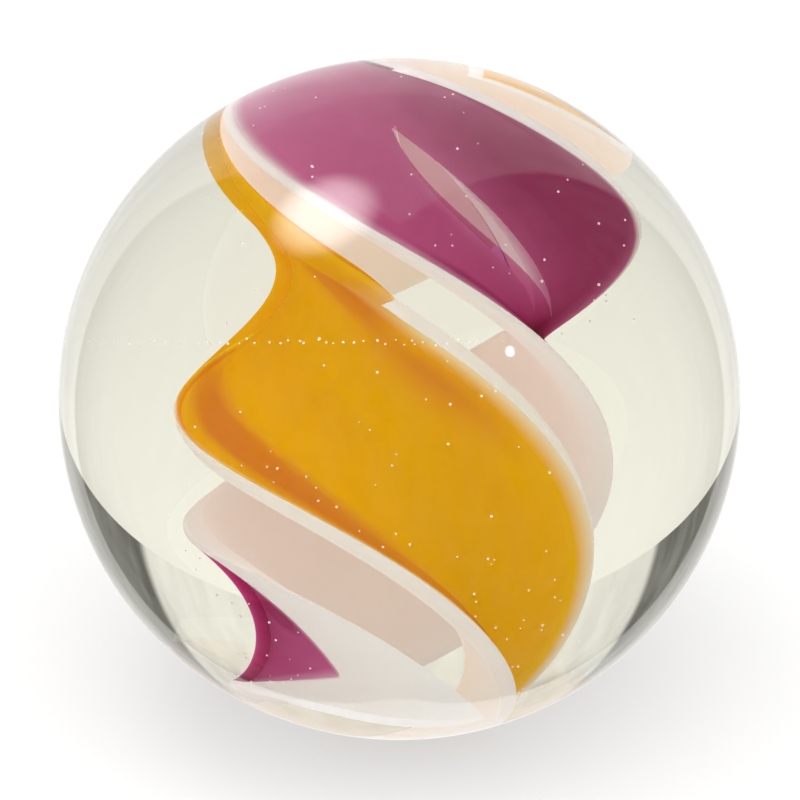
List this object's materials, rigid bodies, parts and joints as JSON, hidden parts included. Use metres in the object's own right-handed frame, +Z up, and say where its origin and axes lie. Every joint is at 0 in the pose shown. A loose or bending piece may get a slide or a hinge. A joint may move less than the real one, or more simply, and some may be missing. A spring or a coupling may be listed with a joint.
{
  "type": "glass marble",
  "caption": "Clear glass marble, a true ball with a twisted core of an amber and a purple ribbon over white glass.",
  "frame": {"origin": "centre of the ball", "axes": "+Z is up as the marble lies in the pose shown, and -Z points to where it rests; the core axis leans back 38 degrees from +Z towards +Y and 4 degrees to +X; -Y is the front"},
  "size_m": [0.025, 0.025, 0.025],
  "materials": {
    "clear_glass": "polished clear glass with a faint straw tint",
    "amber_glass": "amber glass",
    "purple_glass": "purple glass",
    "white_glass": "milky white glass"
  },
  "bodies": {
    "root": {"clear_glass": "clear_glass", "amber_ribbon": "amber_glass", "amber_backing": "white_glass", "purple_ribbon": "purple_glass", "purple_backing": "white_glass"}
  },
  "joints": []
}
